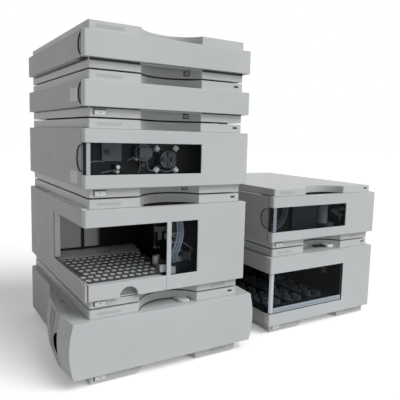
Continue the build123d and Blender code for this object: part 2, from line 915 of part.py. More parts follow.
make_sampler_transport()
make_sampling_unit()
make_collector_door()
make_rack_tray()
make_collector_gantry()
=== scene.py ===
import json
import math

import bmesh
import bpy
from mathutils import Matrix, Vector

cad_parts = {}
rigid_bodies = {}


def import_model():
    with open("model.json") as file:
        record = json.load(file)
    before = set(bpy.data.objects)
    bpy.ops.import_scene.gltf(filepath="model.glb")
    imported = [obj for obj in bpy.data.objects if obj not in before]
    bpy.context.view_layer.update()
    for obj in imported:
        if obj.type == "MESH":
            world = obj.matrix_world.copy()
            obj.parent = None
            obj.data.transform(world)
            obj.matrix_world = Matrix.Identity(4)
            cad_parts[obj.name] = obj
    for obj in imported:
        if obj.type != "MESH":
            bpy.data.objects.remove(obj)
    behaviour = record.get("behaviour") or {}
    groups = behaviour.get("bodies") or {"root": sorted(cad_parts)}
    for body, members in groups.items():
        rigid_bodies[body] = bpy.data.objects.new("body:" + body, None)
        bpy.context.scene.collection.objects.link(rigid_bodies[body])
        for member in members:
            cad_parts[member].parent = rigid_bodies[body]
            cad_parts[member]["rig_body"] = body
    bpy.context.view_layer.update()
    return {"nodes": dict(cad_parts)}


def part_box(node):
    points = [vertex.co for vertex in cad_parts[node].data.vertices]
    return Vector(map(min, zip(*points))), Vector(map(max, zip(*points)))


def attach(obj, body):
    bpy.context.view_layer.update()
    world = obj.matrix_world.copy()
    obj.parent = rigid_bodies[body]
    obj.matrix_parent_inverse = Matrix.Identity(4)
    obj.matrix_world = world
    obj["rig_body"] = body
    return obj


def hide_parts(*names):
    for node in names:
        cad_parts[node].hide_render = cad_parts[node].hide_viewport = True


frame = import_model()
scene = bpy.context.scene
print("frame loaded:", len(frame["nodes"]), "nodes")

# every unit has its own corner: x from its left side, y from its front plane, z from its underside
unitWidth, slimHeight = 345, 80
unitHeight = {"cooler": 140, "sampler": 200, "pump": 140, "degasser": slimHeight, "solvent_cabinet": slimHeight,
    "collector": 200, "detector": 140}
unitNames = list(unitHeight)
poweredUnits = [unit for unit in unitNames if unit != "solvent_cabinet"]
stripInset = Vector((0.0114, 0.0113, 0))
unitCorner = {unit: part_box(unit + "_base")[0] - stripInset for unit in unitNames}
rootBody = "stacked_units"
upwards, backwards = (0, 0, 1), (0, 1, 0)


def spot(unit, x, y, z):
    # a place in a unit's own frame, given in millimetres
    return unitCorner[unit] + Vector((x, y, z)) / 1000


def setInputs(tree, node, values):
    # each input takes a fixed value or the output of another node
    for label, value in values.items():
        if isinstance(value, bpy.types.NodeSocket):
            tree.links.new(value, node.inputs[label])
        else:
            node.inputs[label].default_value = value


def addNode(tree, kind, values=None, **settings):
    node = tree.nodes.new(kind)
    for label, value in settings.items():
        setattr(node, label, value)
    setInputs(tree, node, values or {})
    return node


def linked(name, data):
    # a new object in the scene
    made = bpy.data.objects.new(name, data)
    scene.collection.objects.link(made)
    return made


# camera, light and floor
cameraSettings = {"place": (-0.63226, -1.06887, 0.46497), "yaw": 0.5697, "pitch": 0.1177, "roll": -0.0291,
    "lens": 43.907, "sensor": 36, "shiftX": -0.04915, "shiftY": -0.0161, "near": 0.02, "far": 60}


def aimCamera(place, yaw, pitch, roll, lens, sensor, shiftX, shiftY, near, far):
    forward = Vector((math.sin(yaw) * math.cos(pitch), math.cos(yaw) * math.cos(pitch), -math.sin(pitch)))
    level = Vector((math.cos(yaw), -math.sin(yaw), 0))
    down = forward.cross(level)
    right = math.cos(roll) * level + math.sin(roll) * down
    below = -math.sin(roll) * level + math.cos(roll) * down
    data = bpy.data.cameras.new("studioCamera")
    camera = linked("studioCamera", data)
    turn = camera.matrix_world.to_3x3()
    turn.col[0], turn.col[1], turn.col[2] = right, -below, -forward
    camera.matrix_world = turn.to_4x4()
    camera.location = Vector(place)
    data.lens = lens
    data.sensor_width = sensor
    data.shift_x, data.shift_y = shiftX, shiftY
    data.clip_start, data.clip_end = near, far
    scene.camera = camera


aimCamera(**cameraSettings)
scene.view_settings.view_transform = "Standard"

studioSettings = {"ambient": 0.27, "ambientColour": (0.97, 0.985, 1.0, 1),
    "sunStrength": 2.15, "sunSpread": 40, "sunFrom": (0.35, -0.6, 0.72),
    "fillStrength": 0.72, "fillSpread": 80, "fillFrom": (0.45, -0.85, 0.12),
    "floorColour": (0.58, 0.58, 0.58, 1), "floorSeen": (1, 1, 1, 1), "floorLift": 0.22,
    "floorReach": 14, "floorDrop": 0.0002}


def rayShare(tree, labels):
    # 1 for the kinds of ray named, 0 for the others
    rays = addNode(tree, "ShaderNodeLightPath").outputs
    share = rays[labels[0]]
    for label in labels[1:]:
        share = addNode(tree, "ShaderNodeMath", {0: share, 1: rays[label]}, operation="MAXIMUM").outputs[0]
    return share


def lightWorld(settings):
    world = bpy.data.worlds.new("paleStudio")
    scene.world = world
    world.use_nodes = True
    tree = world.node_tree
    tree.nodes.clear()
    soft = addNode(tree, "ShaderNodeBackground", {"Color": settings["ambientColour"], "Strength": settings["ambient"]})
    white = addNode(tree, "ShaderNodeBackground", {"Color": (1, 1, 1, 1), "Strength": 1.0})
    share = rayShare(tree, ("Is Camera Ray", "Is Glossy Ray", "Is Transmission Ray"))
    blend = addNode(tree, "ShaderNodeMixShader", {0: share, 1: soft.outputs[0], 2: white.outputs[0]})
    addNode(tree, "ShaderNodeOutputWorld", {0: blend.outputs[0]})
    for lamp in ("sun", "fill"):
        data = bpy.data.lights.new(lamp + "Light", "SUN")
        data.energy = settings[lamp + "Strength"]
        data.angle = math.radians(settings[lamp + "Spread"])
        light = linked(lamp + "Light", data)
        light.rotation_mode = "QUATERNION"
        light.rotation_quaternion = Vector(settings[lamp + "From"]).to_track_quat("Z", "Y")


def layFloor(settings):
    reach = settings["floorReach"]
    mesh = bpy.data.meshes.new("paleFloor")
    mesh.from_pydata([(-reach, -reach, 0), (reach, -reach, 0), (reach, reach, 0), (-reach, reach, 0)],
        [], [(0, 1, 2, 3)])
    floor = linked("paleFloor", mesh)
    floor.location.z = -settings["floorDrop"]
    cover = bpy.data.materials.new("paleFloor")
    cover.use_nodes = True
    tree = cover.node_tree
    tree.nodes.clear()
    seen = rayShare(tree, ("Is Camera Ray", "Is Glossy Ray"))
    shade = addNode(tree, "ShaderNodeMix", {"A": settings["floorColour"], "B": settings["floorSeen"], "Factor": seen},
        data_type="RGBA")
    diffuse = addNode(tree, "ShaderNodeBsdfDiffuse", {"Color": shade.outputs["Result"]})
    lift = addNode(tree, "ShaderNodeMath", {0: seen, 1: settings["floorLift"]}, operation="MULTIPLY")
    glow = addNode(tree, "ShaderNodeEmission", {"Strength": lift.outputs[0]})
    both = addNode(tree, "ShaderNodeAddShader", {0: diffuse.outputs[0], 1: glow.outputs[0]})
    addNode(tree, "ShaderNodeOutputMaterial", {0: both.outputs[0]})
    mesh.materials.append(cover)


lightWorld(studioSettings)
layFloor(studioSettings)
print("camera, light and floor ready")


# finishes
def startFinish(name):
    finish = bpy.data.materials.new(name)
    finish.use_nodes = True
    tree = finish.node_tree
    return finish, tree, tree.nodes["Principled BSDF"], addNode(tree, "ShaderNodeTexCoord").outputs["Object"]


def grainNoise(tree, place, scale, detail=2.0):
    return addNode(tree, "ShaderNodeTexNoise", {"Scale": scale, "Detail": detail, "Vector": place}).outputs["Fac"]


def spread(tree, value, low, high, fromLow=0.3, fromHigh=0.7):
    return addNode(tree, "ShaderNodeMapRange", {"From Min": fromLow, "From Max": fromHigh, "To Min": low,
            "To Max": high, "Value": value}).outputs["Result"]


def twoTone(tree, value, first, second, low=0.35, high=0.65):
    ramp = addNode(tree, "ShaderNodeValToRGB", {"Fac": value})
    for element, position, colour in zip(ramp.color_ramp.elements, (low, high), (first, second)):
        element.position = position
        element.color = (*colour, 1)
    return ramp.outputs["Color"]


def mixed(tree, first, second, share, **settings):
    return addNode(tree, "ShaderNodeMix", {"A": first, "B": second, "Factor": share},
        data_type="RGBA", **settings).outputs["Result"]


def bumped(tree, height, strength, distance):
    bump = addNode(tree, "ShaderNodeBump", {"Strength": strength, "Distance": distance, "Height": height})
    return bump.outputs["Normal"]


# a satin moulding: a fine spark-eroded grain, faint clouding of tone and gloss
plasticGrain = {"tint": 0.035, "cloud": 5.0, "glossScale": 38, "glossLow": 0.04, "glossHigh": 0.05,
    "grainScale": 1500, "grainDepth": 0.00012}


def mouldedPlastic(name, colour, roughness=0.42, specular=0.35, grain=0.16):
    settings = plasticGrain
    finish, tree, shader, place = startFinish(name)
    first = tuple(value * (1 - settings["tint"]) for value in colour)
    second = tuple(value * (1 + settings["tint"]) for value in colour)
    cloud = grainNoise(tree, place, settings["cloud"], 3)
    gloss = grainNoise(tree, place, settings["glossScale"], 3)
    setInputs(tree, shader, {
        "Base Color": twoTone(tree, cloud, first, second),
        "Roughness": spread(tree, gloss, roughness - settings["glossLow"], roughness + settings["glossHigh"]),
        "Specular IOR Level": specular,
        "Normal": bumped(tree, grainNoise(tree, place, settings["grainScale"]), grain, settings["grainDepth"])})
    return finish


# drawn metal: streaks along one direction
metalStreaks = {"direction": (1, 1, 60), "scale": 60, "detail": 4, "dark": 0.85, "light": 1.1, "metal": 0.9,
    "glossLow": 0.07, "glossHigh": 0.09, "bump": 0.12, "depth": 0.0001}


def brushedMetal(name, colour, roughness=0.3):
    settings = metalStreaks
    finish, tree, shader, place = startFinish(name)
    stretch = addNode(tree, "ShaderNodeMapping", {"Scale": settings["direction"], "Vector": place})
    streaks = grainNoise(tree, stretch.outputs["Vector"], settings["scale"], settings["detail"])
    dark = tuple(value * settings["dark"] for value in colour)
    light = tuple(min(1, value * settings["light"]) for value in colour)
    setInputs(tree, shader, {
        "Base Color": twoTone(tree, streaks, dark, light),
        "Roughness": spread(tree, streaks, roughness - settings["glossLow"], roughness + settings["glossHigh"]),
        "Metallic": settings["metal"],
        "Normal": bumped(tree, streaks, settings["bump"], settings["depth"])})
    return finish


# smoked pane: a dark glossy skin over what shows through it, with a faint haze of rubbing
paneSkin = {"body": (0.010, 0.012, 0.013, 1), "specular": 0.22, "hazeScale": 22, "glossLow": 0.05, "glossHigh": 0.12}


def smokedAcrylic(name, tint, share):
    settings = paneSkin
    finish, tree, shader, place = startFinish(name)
    haze = grainNoise(tree, place, settings["hazeScale"], 4)
    setInputs(tree, shader, {"Base Color": settings["body"], "Specular IOR Level": settings["specular"],
            "Roughness": spread(tree, haze, settings["glossLow"], settings["glossHigh"])})
    clear = addNode(tree, "ShaderNodeBsdfTransparent", {"Color": (*tint, 1)})
    skin = addNode(tree, "ShaderNodeMixShader", {"Fac": share, 1: clear.outputs[0], 2: shader.outputs[0]})
    setInputs(tree, tree.nodes["Material Output"], {"Surface": skin.outputs[0]})
    return finish


# powder coat outside; inside the room, painted light: a pale tone by the left opening that turns black further in,
# partly the room's black liner and partly painted shade
roomCoat = {"outside": (0.50, 0.505, 0.50, 1), "back": 0.292, "flecks": (0.75, 0.75, 0.75), "fleckScale": 900,
    "fleckShare": 0.25, "roughness": 0.45, "specular": 0.25, "bump": 0.2, "depth": 0.0002}


def roomPaintedLight(name, unit, light, dark, lightReach, darkReach):
    settings = roomCoat
    finish, tree, shader, place = startFinish(name)
    corner = unitCorner[unit]
    sides = addNode(tree, "ShaderNodeSeparateXYZ", {0: place}).outputs
    # painted light: from the lit tone at the opening to black deeper in the room
    depth = addNode(tree, "ShaderNodeMapRange", {"From Min": corner.x + lightReach / 1000, "Value": sides["X"],
            "From Max": corner.x + darkReach / 1000}, interpolation_type="SMOOTHSTEP").outputs["Result"]
    inside = addNode(tree, "ShaderNodeMath", {0: sides["Y"], 1: corner.y + settings["back"]}, operation="LESS_THAN")
    coat = mixed(tree, settings["outside"], mixed(tree, (*light, 1), (*dark, 1), depth), inside.outputs[0])
    speckle = grainNoise(tree, place, settings["fleckScale"], 3)
    flecks = twoTone(tree, speckle, settings["flecks"], (1, 1, 1))
    setInputs(tree, shader, {
        "Base Color": mixed(tree, coat, flecks, settings["fleckShare"], blend_type="MULTIPLY"),
        "Roughness": settings["roughness"], "Specular IOR Level": settings["specular"],
        "Normal": bumped(tree, speckle, settings["bump"], settings["depth"])})
    return finish


def paintedLightPlastic(name, unit, near, far, nearBack, farBack, roughness):
    # painted light: one moulded tone, painted paler towards the back of the unit to make up for the shade deep in the
    # room
    finish, tree, shader, place = startFinish(name)
    back = addNode(tree, "ShaderNodeSeparateXYZ", {0: place}).outputs["Y"]
    front = unitCorner[unit].y
    reach = spread(tree, back, 0, 1, front + nearBack / 1000, front + farBack / 1000)
    gloss = grainNoise(tree, place, 60, 3)
    setInputs(tree, shader, {"Base Color": twoTone(tree, reach, near, far, 0, 1),
            "Roughness": spread(tree, gloss, roughness - 0.05, roughness + 0.05)})
    return finish


# plastics: colour, then where they differ from a cover's the roughness, specular and grain
plastics = {
    "coverPlastic": ((0.515, 0.530, 0.536),), "stripPlastic": ((0.530, 0.542, 0.545),),
    "panelPlastic": ((0.42, 0.422, 0.411), 0.5, 0.25), "buttonPlastic": ((0.80, 0.81, 0.81), 0.3, 0.35, 0.05),
    "darkPlastic": ((0.022, 0.024, 0.027), 0.38, 0.3), "plateFinish": ((0.020, 0.022, 0.024), 0.45, 0.2),
    "greyPlastic": ((0.055, 0.057, 0.060), 0.4), "footRubber": ((0.03, 0.03, 0.032), 0.75, 0.15, 0.3),
    "chassisCoat": ((0.50, 0.505, 0.50), 0.5, 0.35, 0.3), "lampLens": ((0.012, 0.012, 0.014), 0.14, 0.5, 0.02),
    # the catch floor is a shade darker than the panels: painted shade
    "catchShadedPlastic": ((0.36, 0.362, 0.355), 0.5, 0.2), "spoutPlastic": ((0.62, 0.63, 0.63), 0.35),
    "namePlateFinish": ((0.44, 0.45, 0.452), 0.3, 0.35, 0.05), "deepBlack": ((0.006, 0.006, 0.007), 0.8, 0.05),
    "sidePlateFinish": ((0.50, 0.51, 0.51), 0.35, 0.35, 0.05), "edgeStrip": ((0.56, 0.60, 0.63), 0.4),
    "doorFrame": ((0.66, 0.69, 0.76), 0.4), "railWhite": ((0.90, 0.92, 0.95), 0.4),
    "damperGrey": ((0.17, 0.175, 0.185), 0.4), "whiteCap": ((0.90, 0.90, 0.89), 0.3, 0.35, 0.05),
    "silverGrey": ((0.45, 0.46, 0.47), 0.35, 0.35, 0.05), "canGrey": ((0.26, 0.265, 0.27), 0.4),
    "recessGrey": ((0.44, 0.45, 0.46), 0.4), "gripGrey": ((0.24, 0.245, 0.255), 0.4),
    "shelfGrey": ((0.86, 0.87, 0.88), 0.25, 0.5), "lipGrey": ((0.60, 0.61, 0.62), 0.3),
    "softBlue": ((0.50, 0.55, 0.68), 0.3, 0.35, 0.05), "trayGrey": ((0.075, 0.078, 0.082), 0.4, 0.35, 0.1),
    "tubeGlass": ((0.20, 0.21, 0.22), 0.15, 0.5, 0.02), "capillary": ((0.55, 0.56, 0.56), 0.3, 0.35, 0.03)}
finishes = {name: mouldedPlastic(name, *values) for name, values in plastics.items()}
finishes.update({
    "turnedSteel": brushedMetal("turnedSteel", (0.60, 0.60, 0.59)),
    "pumpSteel": brushedMetal("pumpSteel", (0.075, 0.078, 0.082), 0.36),
    "pumpPane": smokedAcrylic("pumpPane", (0.96, 0.97, 0.98), 0.05),
    "deepPane": smokedAcrylic("deepPane", (0.90, 0.92, 0.94), 0.12),
    # painted light and shade on the room walls: pale near the opening, black further in
    "samplerRoomPaintedLight": roomPaintedLight("samplerRoomPaintedLight", "sampler", (0.90, 0.91, 0.92), (0.010, 0.010, 0.012), 114, 128),
    "collectorRoomPaintedLight": roomPaintedLight("collectorRoomPaintedLight", "collector", (0.30, 0.31, 0.32), (0.012, 0.013, 0.015), 2, 20),
    "vialCapPaintedLight": paintedLightPlastic("vialCapPaintedLight", "sampler", (0.50, 0.51, 0.51), (0.95, 0.96, 0.96), 30, 190, 0.35)})
print("finishes ready:", len(finishes))


# mouldings: each node's own form, merged, with the small edge radii of a moulding
mouldingEdge = {"bendLimit": 32, "steps": 2, "mergeWithin": 0.000004, "flatWithin": 0.6}


def evaluatedMesh(holder):
    bpy.context.view_layer.update()
    return bpy.data.meshes.new_from_object(holder.evaluated_get(bpy.context.evaluated_depsgraph_get()))


def softened(piece, edge):
    # rounds the edges, keeps flat faces flat and curved ones smooth, and leaves a plain mesh
    limit = math.radians(mouldingEdge["bendLimit"])
    bevel = piece.modifiers.new("edgeRadius", "BEVEL")
    bevel.width = edge / 1000
    bevel.segments = mouldingEdge["steps"]
    bevel.limit_method = "ANGLE"
    bevel.angle_limit = limit
    bevel.use_clamp_overlap = True
    shaped = evaluatedMesh(piece)
    piece.modifiers.clear()
    piece.data = shaped
    shaped.shade_smooth()
    shaped.set_sharp_from_angle(angle=limit)
    weighted = piece.modifiers.new("flatFaces", "WEIGHTED_NORMAL")
    weighted.keep_sharp = True
    done = evaluatedMesh(piece)
    piece.modifiers.clear()
    piece.data = done


def softPiece(name, mesh, finish, body, edge):
    # edge radius in millimetres
    piece = linked(name, mesh)
    softened(piece, edge)
    piece.data.materials.clear()
    piece.data.materials.append(finishes[finish])
    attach(piece, body)
    return piece


def dressNode(nodeName, finish, edge, slotName):
    source = frame["nodes"][nodeName]
    work = bmesh.new()
    work.from_mesh(source.data)
    bmesh.ops.remove_doubles(work, verts=work.verts, dist=mouldingEdge["mergeWithin"])
    bmesh.ops.dissolve_limit(work, angle_limit=math.radians(mouldingEdge["flatWithin"]), use_dissolve_boundaries=False,
        verts=work.verts, edges=work.edges, delimit=set())
    mesh = bpy.data.meshes.new(nodeName + "_moulding")
    work.to_mesh(mesh)
    work.free()
    mesh.materials.clear()
    mesh.materials.append(finishes[finish])
    piece = softPiece(nodeName + "_moulding", mesh, finish, source["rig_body"], edge)
    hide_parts(nodeName)


# each node's finish, edge radius in millimetres and slot
unitFinishes = {
    "base": ("stripPlastic", 0.5, "strip_plastic"), "top_cover": ("stripPlastic", 0.6, "strip_plastic"),
    "side_panels": ("panelPlastic", 0.6, "panel_plastic"), "front_cover": ("coverPlastic", 0.8, "cover_plastic"),
    "power_button": ("buttonPlastic", 0.3, "button_plastic"), "chassis": ("chassisCoat", 0.4, "chassis_metal")}
nodeFinishes = {unit + "_" + part: unitFinishes[part] for unit in unitNames for part in unitFinishes}
for window in ("detector_window", "sampler_window", "collector_door"):
    nodeFinishes[window] = ("deepPane", 0.3, "smoked_window")
for nodeName in ("detector_optics", "sampler_carriage", "sampler_gripper", "rack_tray", "collector_beam"):
    nodeFinishes[nodeName] = ("darkPlastic", 0.5, "dark_plastic")
nodeFinishes.update({
    "sampler_chassis": ("samplerRoomPaintedLight", 0.4, "room_metal"), "collector_chassis": ("collectorRoomPaintedLight", 0.4, "room_metal"),
    "feet": ("footRubber", 0.6, "foot_rubber"), "status_lamps": ("lampLens", 0.3, "lamp_lens"),
    "pump_front_plate": ("plateFinish", 0.4, "plate_metal"), "pump_head": ("pumpSteel", 0.4, "steel"),
    "purge_valve_knob": ("darkPlastic", 0.4, "steel"), "gradient_valve": ("greyPlastic", 0.4, "valve_plastic"),
    "pump_window": ("pumpPane", 0.3, "smoked_window"), "sampler_drawer": ("coverPlastic", 0.5, "tray_plastic"),
    "vial_tray": ("trayGrey", 0.4, "tray_plastic"), "sampling_unit": ("darkPlastic", 0.6, "dark_plastic"),
    "collector_needle_head": ("darkPlastic", 0.4, "dark_plastic")})
for nodeName in sorted(frame["nodes"]):
    dressNode(nodeName, *nodeFinishes[nodeName])
print("mouldings ready:", len(frame["nodes"]))


# small parts: every size in millimetres, in the unit's own frame
def linkPiece(name, mesh, finish, body):
    mesh.name = name
    mesh.materials.clear()
    mesh.materials.append(finishes[finish])
    piece = linked(name, mesh)
    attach(piece, body)


def spots(unit, places):
    return [spot(unit, *place) for place in places]


def tubePiece(name, unit, runs, radius, finish, body=rootBody):
    # fine tubes along smooth paths, all in one mesh
    data = bpy.data.curves.new(name, "CURVE")
    data.dimensions = "3D"
    data.bevel_depth = radius / 1000
    data.bevel_resolution = 2
    data.use_fill_caps = True
    for run in runs:
        spline = data.splines.new("NURBS")
        spline.points.add(len(run) - 1)
        for point, where in zip(spline.points, spots(unit, run)):
            point.co = (*where, 1)
        spline.order_u = 4
        spline.use_endpoint_u = True
        spline.resolution_u = 5
    holder = linked(name + "_path", data)
    mesh = evaluatedMesh(holder)
    bpy.data.objects.remove(holder)
    mesh.shade_smooth()
    linkPiece(name, mesh, finish, body)


def slabs(unit, rows):
    # blocks as (x, y, z, x, y, z), from lowest to highest corner
    return [(spot(unit, *row[:3]), spot(unit, *row[3:])) for row in rows]


def platePiece(name, blocks, finish, body=rootBody, edge=0.3):
    # closed blocks from lowest and highest corners
    work = bmesh.new()
    for low, high in blocks:
        for vert in bmesh.ops.create_cube(work, size=1)["verts"]:
            vert.co = Vector(low[axis] + (vert.co[axis] + 0.5) * (high[axis] - low[axis]) for axis in range(3))
    mesh = bpy.data.meshes.new("blocks")
    work.to_mesh(mesh)
    work.free()
    softPiece(name, mesh, finish, body, edge)


def prismPiece(name, outlines, push, finish, body=rootBody, edge=0.2):
    # closed plates: each outline pushed along one direction, or to where a rule puts its far side
    work = bmesh.new()
    for outline in outlines:
        near = [work.verts.new(point) for point in outline]
        far = [work.verts.new(push(point) if callable(push) else Vector(point) + Vector(push) / 1000)
            for point in outline]
        work.faces.new(near)
        work.faces.new(far)
        for number in range(len(outline)):
            after = (number + 1) % len(outline)
            work.faces.new((near[number], near[after], far[after], far[number]))
    bmesh.ops.recalc_face_normals(work, faces=work.faces)
    mesh = bpy.data.meshes.new("prisms")
    work.to_mesh(mesh)
    work.free()
    softPiece(name, mesh, finish, body, edge)


def startTree(name, sockets):
    # points come in, and each input has its own name
    tree = bpy.data.node_groups.new(name, "GeometryNodeTree")
    rows = [("Geometry", "Geometry", None), *sockets, ("Finish", "Material", None)]
    for label, kind, value in rows:
        socket = tree.interface.new_socket(label, in_out="INPUT", socket_type="NodeSocket" + kind)
        if value is not None:
            socket.default_value = value
    tree.interface.new_socket("Geometry", in_out="OUTPUT", socket_type="NodeSocketGeometry")
    return tree, tree.nodes.new("NodeGroupInput").outputs


def endTree(tree, entry, shape, turn):
    # one copy of the shape on every point, made real and given its finish
    place = addNode(tree, "GeometryNodeInstanceOnPoints",
        {"Points": entry["Geometry"], "Instance": shape, "Rotation": turn})
    real = addNode(tree, "GeometryNodeRealizeInstances", {0: place.outputs["Instances"]})
    painted = addNode(tree, "GeometryNodeSetMaterial", {"Geometry": real.outputs[0], "Material": entry["Finish"]})
    addNode(tree, "NodeGroupOutput", {0: painted.outputs[0]})


def collarTree():
    # a collar with a sunk floor: screws, nozzles, tubes and dots
    tree, entry = startTree("sunkCollars", (
        ("Radius", "Float", 0.003), ("Wall", "Float", 0.001), ("Height", "Float", 0.001), ("Floor", "Float", 0.0005),
        ("Sides", "Int", 20), ("Facing", "Vector", (0, 0, 1))))

    def sums(operation, first, second):
        return addNode(tree, "ShaderNodeMath", {0: first, 1: second}, operation=operation).outputs[0]

    def inner(share):
        return sums("SUBTRACT", entry["Radius"], sums("MULTIPLY", entry["Wall"], share))

    def lifted(geometry, height):
        offset = addNode(tree, "ShaderNodeCombineXYZ", {"Z": sums("MULTIPLY", height, 0.5)})
        return addNode(tree, "GeometryNodeTransform",
            {"Geometry": geometry, "Translation": offset.outputs[0]}).outputs["Geometry"]

    circle = addNode(tree, "GeometryNodeCurvePrimitiveCircle", {"Resolution": entry["Sides"], "Radius": inner(0.5)})
    profile = addNode(tree, "GeometryNodeCurvePrimitiveQuadrilateral",
        {"Width": entry["Wall"], "Height": entry["Height"]})
    collar = addNode(tree, "GeometryNodeCurveToMesh",
        {"Curve": circle.outputs["Curve"], "Profile Curve": profile.outputs["Curve"]})
    floor = addNode(tree, "GeometryNodeMeshCylinder",
        {"Vertices": entry["Sides"], "Radius": inner(0.9), "Depth": entry["Floor"]})
    both = addNode(tree, "GeometryNodeJoinGeometry", {0: lifted(collar.outputs["Mesh"], entry["Height"])})
    setInputs(tree, both, {0: lifted(floor.outputs["Mesh"], entry["Floor"])})
    aim = addNode(tree, "FunctionNodeAlignRotationToVector", {"Vector": entry["Facing"]}, axis="Z")
    endTree(tree, entry, both.outputs[0], aim.outputs[0])
    return tree


def blockTree():
    # a plain block: slot floors and blades
    tree, entry = startTree("turnedBlocks", (("Size", "Vector", (0.01, 0.01, 0.01)), ("Turn", "Vector", (0, 0, 0))))
    block = addNode(tree, "GeometryNodeMeshCube", {"Size": entry["Size"]})
    endTree(tree, entry, block.outputs["Mesh"], entry["Turn"])
    return tree


spreadTrees = {"collars": collarTree(), "blocks": blockTree()}


def spreadPiece(name, kind, wanted, places, finish, body):
    tree = spreadTrees[kind]
    base = bpy.data.meshes.new(name + "_points")
    base.from_pydata([tuple(place) for place in places], [], [])
    holder = linked(name + "_points", base)
    modifier = holder.modifiers.new("spread", "NODES")
    modifier.node_group = tree
    wanted["Finish"] = finishes[finish]
    for item in tree.interface.items_tree:
        if item.in_out == "INPUT" and item.name in wanted:
            modifier[item.identifier] = wanted[item.name]
    mesh = evaluatedMesh(holder)
    bpy.data.objects.remove(holder)
    work = bmesh.new()
    work.from_mesh(mesh)
    bmesh.ops.recalc_face_normals(work, faces=work.faces)
    work.to_mesh(mesh)
    work.free()
    if kind == "collars":
        mesh.shade_smooth()
        mesh.set_sharp_from_angle(angle=math.radians(35))
    linkPiece(name, mesh, finish, body)


def collars(name, places, sizes, finish, body=rootBody, facing=(0, -1, 0)):
    # sizes: radius, wall, height, floor and the number of sides
    radius, wall, height, floor, sides = sizes
    wanted = {"Radius": radius / 1000, "Wall": wall / 1000, "Height": height / 1000, "Floor": floor / 1000,
        "Sides": sides, "Facing": facing}
    spreadPiece(name, "collars", wanted, places, finish, body)


def spreadBlocks(name, places, size, finish):
    wanted = {"Size": [value / 1000 for value in size], "Turn": (0, 0, 0)}
    spreadPiece(name, "blocks", wanted, places, finish, rootBody)


def fitOut(unit, pieces, body=rootBody):
    # makes each piece, of dark plastic unless it says otherwise, from its blocks, collars, tube runs or outlines
    for name, given in pieces.items():
        settings = {"finish": "darkPlastic", "body": body, **given}
        if "blocks" in settings:
            platePiece(name, slabs(unit, settings.pop("blocks")), **settings)
        elif "at" in settings:
            collars(name, spots(unit, settings.pop("at")), **settings)
        elif "runs" in settings:
            tubePiece(name, unit, **settings)
        else:
            level = settings.pop("level")
            outlines = [[spot(unit, x, y, level) for x, y in outline] for outline in settings.pop("outlines")]
            prismPiece(name, outlines, (0, 0, settings.pop("rise")), **settings)


print("helpers ready")

# finger catches: a shallow floor a little darker than the panel for painted shade, and a dark ring of painted shade
# behind each round hole of the side panels
fingerCatches = {"radius": 24.3, "back": 23.7, "slimRadius": 19, "slimBack": 18, "seamBack": 16.8, "steps": 28,
    "floorDepth": 2.6, "floorWall": 0.8, "floorReach": 1.6, "shadeRingDepth": 1.0, "shadeRingWall": 1.6,
    "shadeRingGap": 0.05, "shadeRingWidth": 1.3}


def catchBack(unit):
    return fingerCatches["slimBack" if unitHeight[unit] == slimHeight else "back"]


def catchArc(unit, radius, x, turns):
    back, middle = catchBack(unit), unitHeight[unit] / 2
    return [spot(unit, x, back + radius * math.cos(turn), middle + radius * math.sin(turn)) for turn in turns]


def catchTurns(unit, radius):
    # the turns at which the arc is still behind the cover's seam
    count = fingerCatches["steps"]
    reach = math.acos(max(-1, min(1, (fingerCatches["seamBack"] - catchBack(unit)) / radius)))
    return [-reach + 2 * reach * number / count for number in range(count + 1)]


def placeCatches(settings):
    floors, shadeRings = [], []
    for unit in unitNames:
        if unit == "cooler":
            continue
        radius = settings["slimRadius" if unitHeight[unit] == slimHeight else "radius"]
        floorAt, shadeRingAt = settings["floorDepth"], settings["shadeRingDepth"]
        places = [(unitWidth - floorAt - settings["floorWall"], unitWidth - shadeRingAt - settings["shadeRingWall"])]
        if unit not in ("sampler", "collector"):
            places.insert(0, (floorAt, shadeRingAt))
        wide = radius + settings["floorReach"]
        outer, inner = radius - settings["shadeRingGap"], radius - settings["shadeRingWidth"]
        turns = catchTurns(unit, inner)
        for floorX, shadeRingX in places:
            floors.append(catchArc(unit, wide, floorX, catchTurns(unit, wide)))
            # painted shade: a dark ring just inside each hole stands in for the shadowed gap at its rim
            shadeRings.append(catchArc(unit, outer, shadeRingX, turns) + catchArc(unit, inner, shadeRingX, turns[::-1]))
    prismPiece("finger_catch_floors", floors, (settings["floorWall"], 0, 0), "catchShadedPlastic")
    prismPiece("finger_catch_shade_rings", shadeRings, (settings["shadeRingWall"], 0, 0), "footRubber", edge=0.1)


placeCatches(fingerCatches)

# seams: a dark gap behind each cover's side edge, and dark strips of painted shadow under the belts of the two slim
# units
seamLines = {"coverUnits": ("solvent_cabinet", "degasser", "pump", "detector"), "back": 16.05, "width": 1.1,
    "coverLow": 17.4, "topDrop": 17.5, "sunk": 0.4, "out": 0.15, "beltSunk": 0.2, "corner": 2.2,
    "underBelt": (("solvent_cabinet", 12.8), ("degasser", 15.0)), "beltLow": 16.95,
    "side": 11.4, "front": 11.3, "waveLeft": 107, "waveRight": 237,
    "rear": 428}


